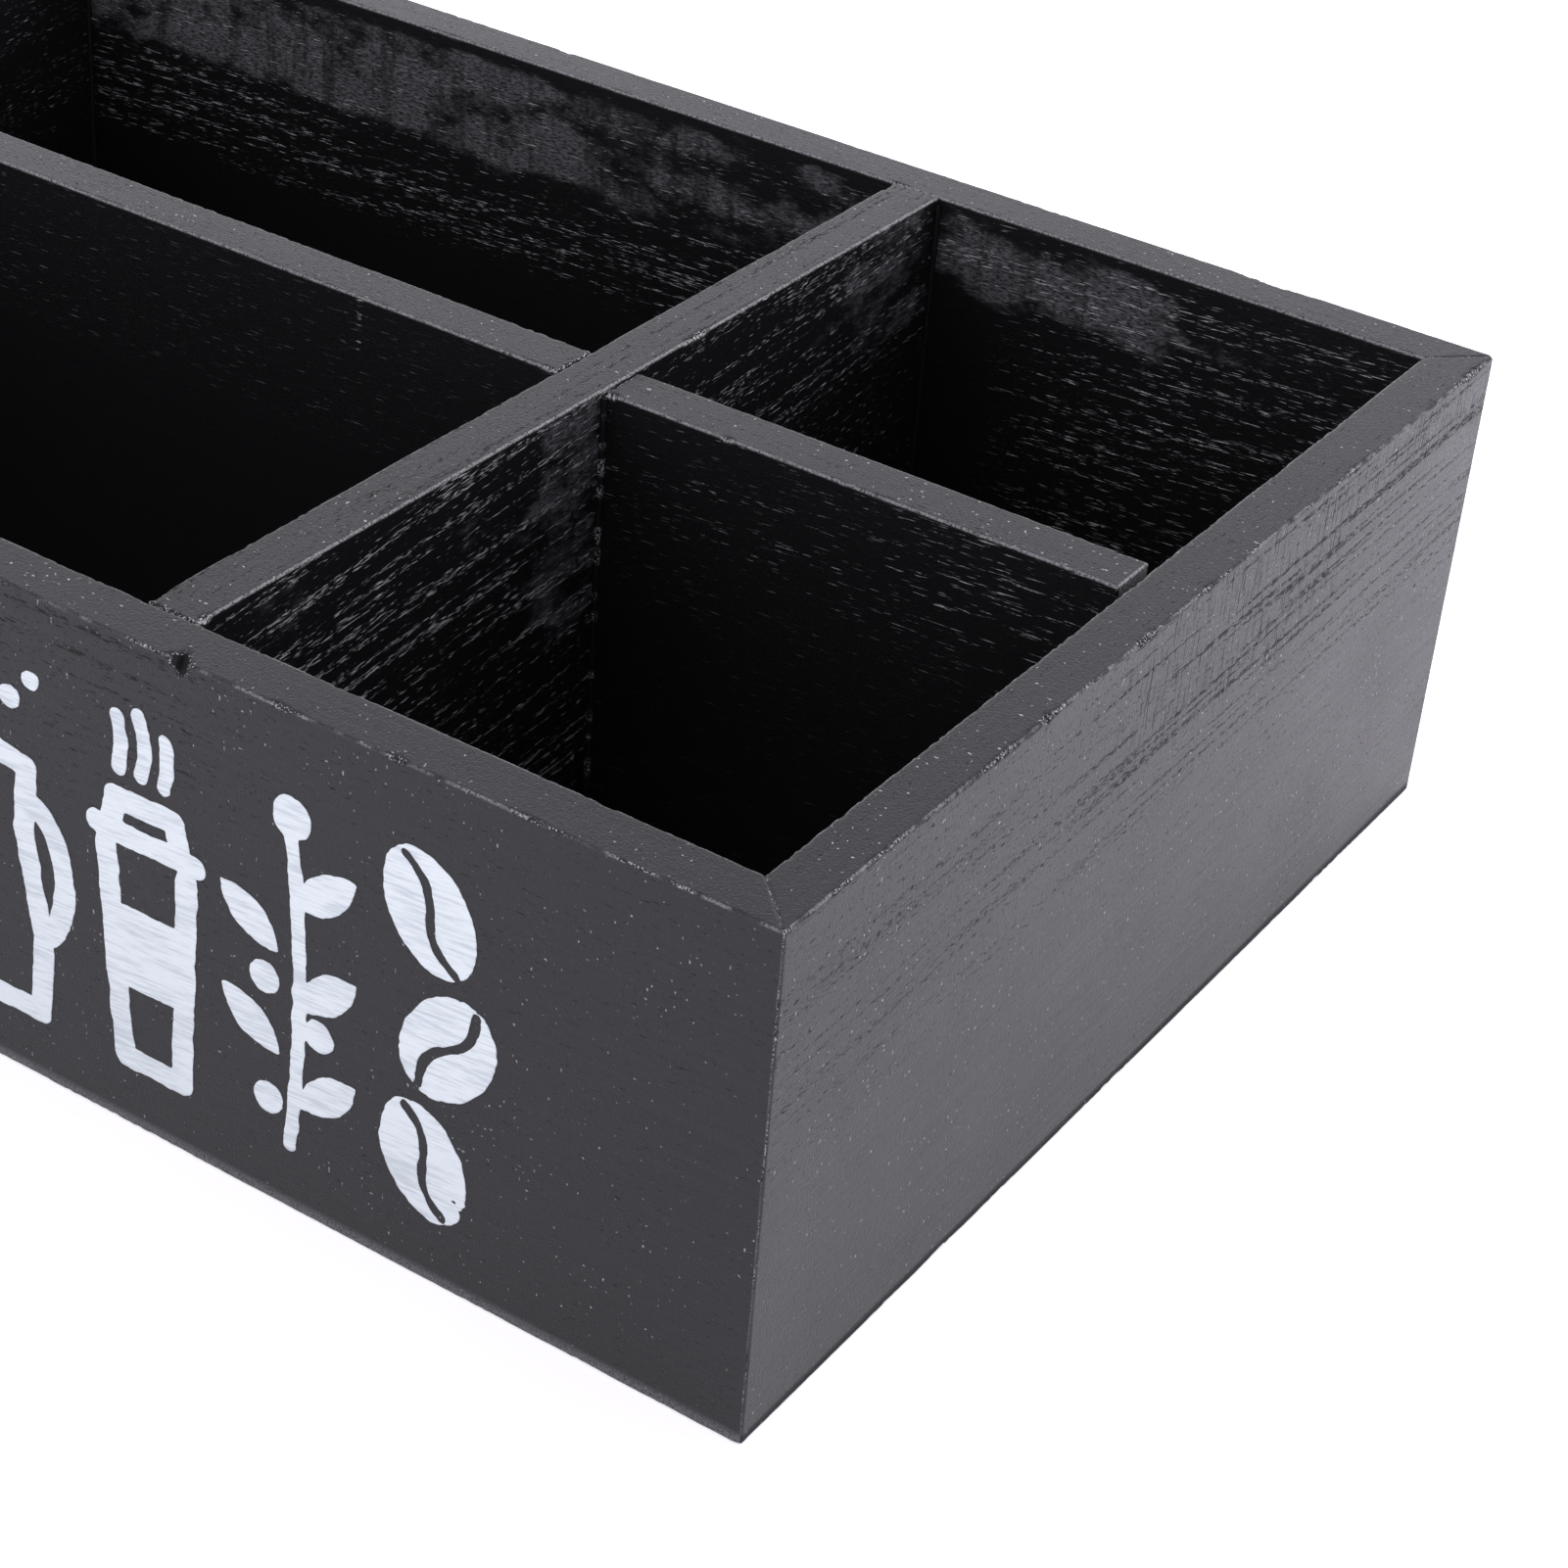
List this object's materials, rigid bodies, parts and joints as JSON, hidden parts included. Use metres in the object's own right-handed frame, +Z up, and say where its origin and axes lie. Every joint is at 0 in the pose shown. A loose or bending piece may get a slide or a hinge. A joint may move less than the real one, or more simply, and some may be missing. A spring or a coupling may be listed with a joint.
{
  "type": "coffee station organizer",
  "caption": "Open wooden caddy with mitred black-painted boards, white hand-painted line motifs on the front, and dividers that make large and small compartments.",
  "frame": {"origin": "middle of the underside, on the surface the box stands on", "axes": "+X to the right along the length, seen from the decorated front; +Y from the front to the back; +Z up"},
  "size_m": [0.371, 0.249, 0.101],
  "materials": {
    "black_painted_wood": "thin satin charcoal-black paint over open-grained wood, arrises worn",
    "black_painted_plywood": "one thin coat of flat black paint over plywood",
    "brad_steel": "bright drawn wire",
    "white_paint": "cool white brush paint laid on the black paint"
  },
  "bodies": {
    "root": {"front_board": "black_painted_wood", "back_board": "black_painted_wood", "left_end_board": "black_painted_wood", "right_end_board": "black_painted_wood", "cross_divider": "black_painted_wood", "long_divider": "black_painted_wood", "short_divider": "black_painted_wood", "bottom_panel": "black_painted_plywood", "corner_brads": "brad_steel", "cross_divider_brads": "brad_steel", "long_divider_brads": "brad_steel", "board_panel_brads": "brad_steel", "divider_panel_brads": "brad_steel"}
  },
  "joints": []
}
